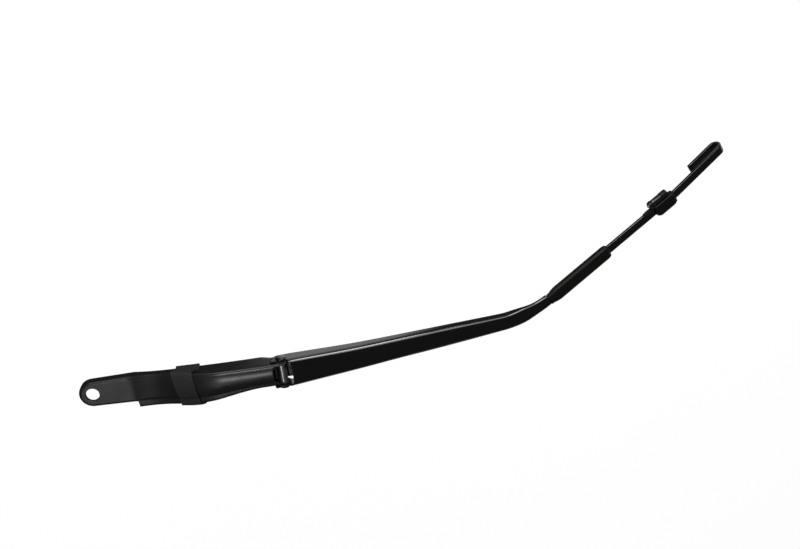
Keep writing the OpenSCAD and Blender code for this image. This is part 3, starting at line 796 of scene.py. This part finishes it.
def makeStrap():
    w = wire
    lean = math.radians(channel["pitch"])
    px = w["pinX"] * math.cos(lean) - springZ * math.sin(lean)
    pz = w["pinX"] * math.sin(lean) + springZ * math.cos(lean)
    r = (w["pin"] + w["strapThickness"]) / 2 + w["hookGap"]
    (bendX, bendZ), (endX, endZ) = w["strapBend"], w["strapEnd"]
    line = arc(px, pz, r, *w["strapArc"])
    line += [(px + bendX, pz - r + bendZ), (0, springZ - w["strapDip"]),
             (w["coilX"] - endX, springZ - endZ)]
    half = w["strapThickness"] / 2
    outline = np.vstack([shifted(line, half), shifted(line, -half)[::-1]])
    return outwards(prism(outline, -w["strapHalf"], w["strapHalf"], sideways(armPlace)))


def springPath():
    w, rodHalf, wireHalf = wire, rod["thickness"] / 2, wire["diameter"] / 2
    coilR = (w["coilDiameter"] - w["diameter"]) / 2
    side, coilZ = springEyeY * w["sideShare"], springZ + coilR
    path = [(w["coilX"] - back, 0, springZ) for back in w["firstTail"]]
    total = w["turns"] * w["stepsPerTurn"]
    for i in range(total + 1):
        u = i / total
        a = 2 * math.pi * i / w["stepsPerTurn"] - math.pi / 2
        path.append((w["coilX"] + w["coilLength"] * u, coilR * math.cos(a) + side * u,
                     coilZ - w["fall"] * u + coilR * math.sin(a)))
    (tail, rise), (back, down) = w["lastTail"], w["eyeTail"]
    path += [(w["coilX"] + w["coilLength"] + tail, side, coilZ - w["fall"] - coilR + rise),
             (springEyeX - back, springEyeY, -rodHalf - wireHalf - down),
             (springEyeX, springEyeY, -rodHalf), (springEyeX, springEyeY, rodHalf + w["eyePast"])]
    return [armPlace(p) for p in path]


def makeSpring():
    curve = bpy.data.curves.new("springPath", "CURVE")
    curve.dimensions = "3D"
    points = springPath()
    line = curve.splines.new("POLY")
    line.points.add(len(points) - 1)
    for point, place in zip(line.points, points):
        point.co = tuple(place * milli) + (1,)
    path = linked("springPath", curve)
    tree, inputs = wireTree()
    step = path.modifiers.new("wire", "NODES")
    step.node_group = tree
    step[inputs["Wire Radius"]] = wire["diameter"] / 2 * milli
    step[inputs["Sides"]] = wire["sides"]
    step[inputs["Finish"]] = materials["spring_steel"]
    evaluated = path.evaluated_get(bpy.context.evaluated_depsgraph_get())
    mesh = bpy.data.meshes.new_from_object(evaluated)
    bpy.data.objects.remove(path)
    return finished(combined(outwards(linked("springWire", mesh)), makeStrap(), "UNION"))


dress(makeSpring(), "spring_steel", "arm", "tension_spring")
print("spring made")

# rivet with two domed heads
rivet = {"domeSteps": 8, "rimShare": 0.35, "domePower": 0.7, "domeFrom": 0.15, "domeTo": 0.05,
         "steps": 64}


def makeRivet():
    v, r, top, half = rivet, hinge["headDiameter"] / 2, hinge["headHeight"], earHalf
    rim = v["rimShare"]
    upper = [(hinge["rivet"] / 2, half), (r, half), (r, half + top * rim)]
    upper += [(r * math.cos(a) ** v["domePower"], half + top * (rim + (1 - rim) * math.sin(a)))
              for a in np.linspace(v["domeFrom"], math.pi / 2 - v["domeTo"], v["domeSteps"])]
    upper.append((0, half + top))
    piece = spunPiece("hingeRivet", [(x, -z) for x, z in upper[::-1]] + upper, v["steps"])
    return finished(outwards(moved(piece, lambda p: (hinge["x"] + p[0], p[2], hinge["z"] + p[1]))))


dress(makeRivet(), "gloss_black_steel", "arm", "hinge_rivet")
print("rivet made")

# sleeve, jet holder and jet sit on the straight rod
sleeve = {
    "x": bendReach + 0.3, "end": 102.0, "width": 14.4, "height": 8.0, "lift": 0.8, "wall": 1.2,
    "startShare": 0.74, "startRun": 0.14, "endShare": 0.9, "endRun": 0.05,
    "nip": 0.9, "nipRate": 70, "corner": 0.38, "cornerPoints": 9, "edgeBevel": 0.2,
    "shares": (0, 0.004, 0.012, 0.025, 0.045, 0.07, 0.1, 0.14, 0.2, 0.35, 0.5, 0.65, 0.8,
               0.9, 0.945, 0.96, 0.975, 0.988, 0.996, 1),
}
holder = {
    "length": 24.0, "backGap": 0.8, "wall": 3.2, "height": 8.4, "lift": 0.5, "jetGap": 0.2,
    "corner": 1.6, "cornerPoints": 9, "endLoss": 1.6, "endRate": 9, "frontCut": 1.8,
    "frontRate": 8, "backCut": 1.2, "backRate": 6, "edgeBevel": 0.2,
    "shares": (0, 0.02, 0.05, 0.09, 0.15, 0.25, 0.5, 0.75, 0.85, 0.91, 0.95, 0.98, 1),
    "spigotLength": 13.0, "spigotRadius": 1.9, "spigotRoot": 6.0,
    "spigotTip": ((0.6, 0.0), (0.9, 1.5), (1.0, 4.0)),
}
holder["x"] = rod["length"] - secondReach - holder["backGap"] - holder["length"]
jet = {
    "length": 22.0, "diameter": 7.0, "start": -4.0, "z": 0.6, "clearY": 1.4,
    "footRadius": 1.0, "noseRadius": 3.0, "noseBack": 4.0, "faceBack": 0.9, "edgeBevel": 0.15,
    "ball": 3.6, "sink": 0.4, "cupAngle": 84, "socketStart": 11.0, "socketEnd": 19.0,
    "socketWall": 0.2, "socketEdge": 0.2, "socketNose": 1.6,
    "ringWall": 0.35, "ringLength": 2.0, "ringEdge": 0.15,
}
rodTurn = turn("Z", rod["yaw"]) @ turn("Y", rod["pitch"]) @ turn("X", rod["roll"])
jetY = rod["width"] / 2 + jet["diameter"] / 2 + jet["clearY"]
jetRadius = jet["diameter"] / 2


def onRod(s):
    return lambda p: armPlace(bendPoint + rodTurn @ (np.asarray(p, float) + [s, 0, 0]))


def onJet(place, x=0.0):
    return lengthwise(place, jetY, jet["z"], x)


def rodPassage(place):
    w, t = rod["width"] / 2 + seat, rod["thickness"] / 2 + seat
    outline = [(-w, -t), (w, -t), (w, t), (-w, t)]
    return prism(outline, -cutter["long"], cutter["long"], lambda p: place((p[2], p[0], p[1])))


def ringsOnRod(place, sections):
    return [np.array([place(p) for p in sectionAt(x, loop)]) for x, loop in sections]


def makeSleeve():
    v, place = sleeve, onRod(sleeve["x"])
    sections = []
    for u in v["shares"]:
        grow = min(mix(v["startShare"], 1, u / v["startRun"]),
                   mix(v["endShare"], 1, (1 - u) / v["endRun"]))
        w = max(v["width"] * grow, rod["width"] + 2 * v["wall"])
        h = max(v["height"] * grow, rod["thickness"] + 2 * v["wall"])
        nip = v["nip"] * (1 - smooth(min(u, 1 - u) * v["nipRate"]))
        loop = roundedBox(w - nip, h - nip, (h - nip) * v["corner"], v["cornerPoints"])
        sections.append((u * (v["end"] - v["x"]), loop + [0, v["lift"]]))
    piece = outwards(loftPiece("rodSleeve", ringsOnRod(place, sections)))
    return finished(cutFrom(piece, rodPassage(place)), v["edgeBevel"])


def makeHolder():
    v, place = holder, onRod(holder["x"])
    low = -rod["width"] / 2 - v["wall"]
    high = jetY - jetRadius - seat - v["jetGap"]
    sections = []
    for u in v["shares"]:
        end = 1 - smooth(min(u, 1 - u) * v["endRate"])
        near = v["frontCut"] * (1 - min(1, u * v["frontRate"]))
        near += v["backCut"] * (1 - min(1, (1 - u) * v["backRate"]))
        loop = roundedBox(high - low - near, v["height"] - v["endLoss"] * end, v["corner"],
                          v["cornerPoints"])
        sections.append((u * v["length"], loop + [(high + low + near) / 2, v["lift"]]))
    piece = outwards(loftPiece("jetHolder", ringsOnRod(place, sections)))

    outer, edge, nose = jetRadius + jet["socketWall"], jet["socketEdge"], jet["socketNose"]
    first, last = jet["socketStart"], jet["socketEnd"]
    socket = spunPiece(
        "socket", [(0, first), (outer - edge, first), (outer, first + edge)]
        + arc(outer - nose, last - nose, nose, 0, 80, 6) + [(0, last)])
    combined(piece, moved(socket, onJet(place)), "UNION")

    thick, run, root = v["spigotRadius"], v["spigotLength"], v["spigotRoot"]
    tip = [(thick * share, up - run) for share, up in v["spigotTip"]]
    spigot = spunPiece("spigot", [(0, -run)] + tip + [(thick, root), (0, root)], 32)
    combined(piece, moved(spigot, lengthwise(place, rod["width"] / 2, v["lift"])), "UNION")
    bore = roundBar("bore", jetRadius + seat, -cutter["wide"], cutter["far"])
    cutFrom(piece, rodPassage(place), moved(bore, onJet(place)))
    return finished(piece, v["edgeBevel"])


def makeJet():
    v, r, foot, nose = jet, jetRadius, jet["footRadius"], jet["noseRadius"]
    profile = [(0, 0), (r - foot, 0)] + arc(r - foot, foot, foot, -90, 0, 6)[1:]
    profile += arc(r - nose, v["length"] - v["noseBack"], nose, 15, 75, 8)
    profile.append((0, v["length"] - v["faceBack"]))
    place = onRod(holder["x"] + v["start"])
    piece = outwards(moved(spunPiece("jetBody", profile, 72), onJet(place)))
    hollow, angle = v["ball"] / 2 + hinge["gap"], v["cupAngle"]
    side = arc(0, 0, hollow, -angle, angle, 20)
    cup = spunPiece("cup", [(0, -hollow)] + side + [(0, hollow)], 48)
    return finished(cutFrom(piece, moved(cup, onJet(place, v["sink"]))), v["edgeBevel"])


def makeRing():
    # the ring that holds the jet's nose
    v, high, edge = jet, jet["ringLength"], jet["ringEdge"]
    inner = jetRadius + seat
    outer = inner + v["ringWall"]
    piece = spunPiece("jetRing", [(0, 0), (outer - edge, 0), (outer, edge), (outer, high - edge),
                                  (outer - edge, high), (0, high)])
    cutFrom(piece, roundBar("bore", inner, -1, high + 1))
    return finished(outwards(moved(piece, onJet(onRod(holder["x"] - high - seat)))))


dress(makeSleeve(), "sleeve_plastic", "arm", "rod_sleeve")
dress(makeHolder(), "sleeve_plastic", "arm", "jet_holder")
dress(makeJet(), "jet_plastic", "arm", "jet_body")
dress(makeRing(), "sleeve_plastic", "arm", "jet_cap")
print("sleeve, holder and jet made")

# small nodes whose CAD shape is right keep it and get their finish
kept = {"spring_pin": "zinc_steel", "hinge_bush": "zinc_steel", "jet_ball": "brass",
        "hinge_washer_left": "washer_plastic", "hinge_washer_right": "washer_plastic"}
for node, slotName in kept.items():
    wear(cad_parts[node], slotName)

# camera at the photograph's place and angle
camera = {"place": (0.23994, 0.37876, 0.81894), "right": (0.98625, -0.11864, 0.11504),
          "up": (0.15111, 0.92924, -0.33715), "back": (-0.06690, 0.34990, 0.93440),
          "focal": 42.668, "sensor": 36.0, "clip": (0.01, 50)}
lens = bpy.data.cameras.new("camera")
lens.sensor_fit = "HORIZONTAL"
lens.sensor_width = camera["sensor"]
lens.lens = camera["focal"]
lens.clip_start, lens.clip_end = camera["clip"]
eyePoint = linked("camera", lens)
axes = Matrix([camera["right"], camera["up"], camera["back"]]).transposed()
eyePoint.matrix_world = Matrix.Translation(camera["place"]) @ axes.to_4x4()
bpy.context.scene.camera = eyePoint

# floor: white to the camera, and it keeps the shadow; to the paint's gloss it shows painted light
# in patches along X, with painted shade between them
floorLook = {"height": -0.22, "size": 9.0, "glow": 0.925, "shadowShare": 0.16, "matt": 0.8,
             "span": 0.8, "glossLightAndShade": ((0.0, 0.04), (0.13, 0.05), (0.17, 0.8), (0.31, 0.8),
                                      (0.36, 0.1), (0.56, 0.1), (0.60, 0.8), (0.8, 0.8))}


def grey(level):
    return (level, level, level, 1)


def makeFloor():
    v = floorLook
    half, z = v["size"] / 2 / milli, v["height"] / milli
    corners = [(-half, -half, z), (half, -half, z), (half, half, z), (-half, half, z)]
    floor = newPiece("floor", corners, [(0, 1, 2, 3)])
    material = bpy.data.materials.new("floorWhite")
    material.use_nodes = True
    nodes = material.node_tree.nodes
    nodes.clear()
    out, ray = nodes.new("ShaderNodeOutputMaterial"), nodes.new("ShaderNodeLightPath")
    matt = addNode(nodes, "ShaderNodeBsdfDiffuse", {"Color": grey(v["matt"])})
    faint = addNode(nodes, "ShaderNodeBsdfDiffuse", {"Color": grey(v["shadowShare"])})
    glow = addNode(nodes, "ShaderNodeEmission", {"Strength": v["glow"]})
    where, parts = nodes.new("ShaderNodeTexCoord"), nodes.new("ShaderNodeSeparateXYZ")
    # the ramp paints light and shade along X, which only the paint's gloss sees
    along, paintedPools = nodes.new("ShaderNodeMath"), nodes.new("ShaderNodeValToRGB")
    along.operation = "DIVIDE"
    along.inputs[1].default_value = v["span"]
    stops = paintedPools.color_ramp.elements
    for place, light in v["glossLightAndShade"][1:-1]:
        stops.new(place / v["span"])
    for stop, (place, light) in zip(stops, v["glossLightAndShade"]):
        stop.position = place / v["span"]
        stop.color = grey(light)
    # dim glows with the ramp's painted light and shade, for gloss rays only
    dim, both = nodes.new("ShaderNodeEmission"), nodes.new("ShaderNodeAddShader")
    seen, gloss = nodes.new("ShaderNodeMixShader"), nodes.new("ShaderNodeMixShader")
    joinAll(material.node_tree.links, [
        (where, "Object", parts, 0), (parts, "X", along, 0), (along, 0, paintedPools, "Fac"),
        (paintedPools, "Color", dim, "Color"), (faint, 0, both, 0), (glow, 0, both, 1),
        (ray, "Is Glossy Ray", gloss, 0), (matt, 0, gloss, 1), (dim, 0, gloss, 2),
        (ray, "Is Camera Ray", seen, 0), (gloss, 0, seen, 1), (both, 0, seen, 2),
        (seen, 0, out, "Surface")])
    floor.data.materials.append(material)


makeFloor()

# lamps: a broad side box, a box for the plate, a strip for the crown and a card for the hook
lamps = {
    "sideBox": {"place": (0.40, 1.15, 0.75), "aim": (0.30, 0.03, 0.0), "size": (1.6, 0.7),
                "power": 12.0},
    "plateBox": {"place": (-0.32, -0.58, 1.25), "aim": (0.02, 0, 0), "size": (0.3, 0.42),
                 "power": 0.85},
    "overStrip": {"place": (-0.11, 0.05, 1.4), "aim": (0.15, 0, 0), "size": (0.42, 0.14),
                  "power": 4.4},
    "hookCard": {"place": (0.43, 1.15, 0.36), "aim": (0.62, 0.2, 0), "size": (0.2, 0.3),
                 "power": 2.6},
}


def makeLamp(name, v):
    light = bpy.data.lights.new(name, "AREA")
    light.shape = "RECTANGLE"
    light.size, light.size_y = v["size"]
    light.energy = v["power"]
    lamp = linked(name, light)
    lamp.location = v["place"]
    toAim = Vector(v["aim"]) - Vector(v["place"])
    lamp.rotation_euler = toAim.to_track_quat("-Z", "Y").to_euler()


for name, values in lamps.items():
    makeLamp(name, values)

# the studio's room: white behind the floor's edge, dim as a light
room = {"seen": 0.98, "light": 0.075}


def makeRoom():
    world = bpy.data.worlds.new("studio")
    bpy.context.scene.world = world
    world.use_nodes = True
    nodes = world.node_tree.nodes
    ray, glow = nodes.new("ShaderNodeLightPath"), nodes["Background"]
    level = addNode(nodes, "ShaderNodeMapRange", {"To Min": room["light"], "To Max": room["seen"]})
    glow.inputs["Color"].default_value = grey(1)
    joinAll(world.node_tree.links, [
        (ray, "Is Camera Ray", level, "Value"), (level, "Result", glow, "Strength")])


makeRoom()
bpy.context.scene.view_settings.view_transform = "Standard"
print("stage made")
